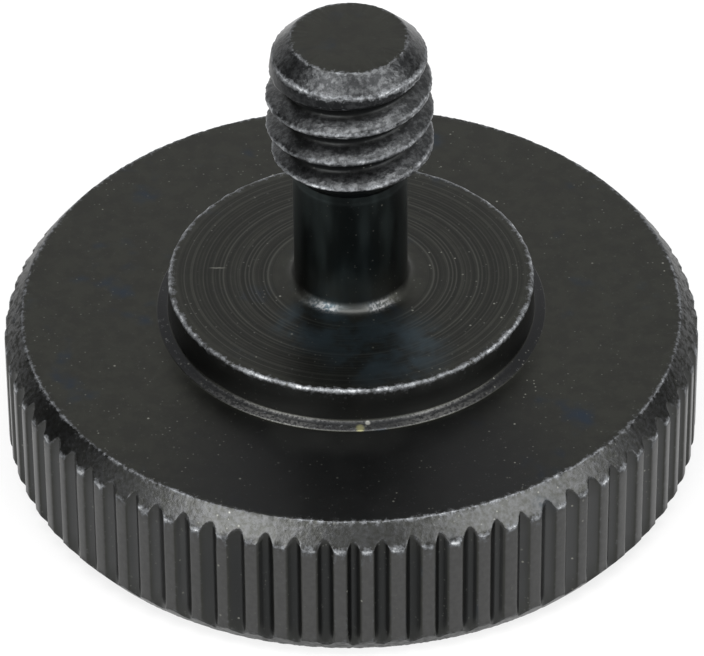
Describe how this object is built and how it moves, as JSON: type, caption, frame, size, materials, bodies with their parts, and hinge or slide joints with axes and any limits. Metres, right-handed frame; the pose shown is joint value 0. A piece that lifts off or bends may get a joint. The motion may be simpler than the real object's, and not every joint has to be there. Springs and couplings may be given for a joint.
{
  "type": "tripod thread adapter",
  "caption": "Black knurled thumb disc with a camera stud on a round boss and a threaded tripod socket in its flat underside.",
  "frame": {"origin": "centre of the flat underside, at the mouth of the tripod socket", "axes": "+Z along the axis, from the underside to the stud's tip; -Y is the side that the picture shows"},
  "size_m": [0.0264, 0.0264, 0.0189],
  "materials": {
    "black_steel": "blackened steel, satin, with turning marks and bright worn edges"
  },
  "bodies": {
    "root": {"thread_adapter": "black_steel"}
  },
  "joints": []
}
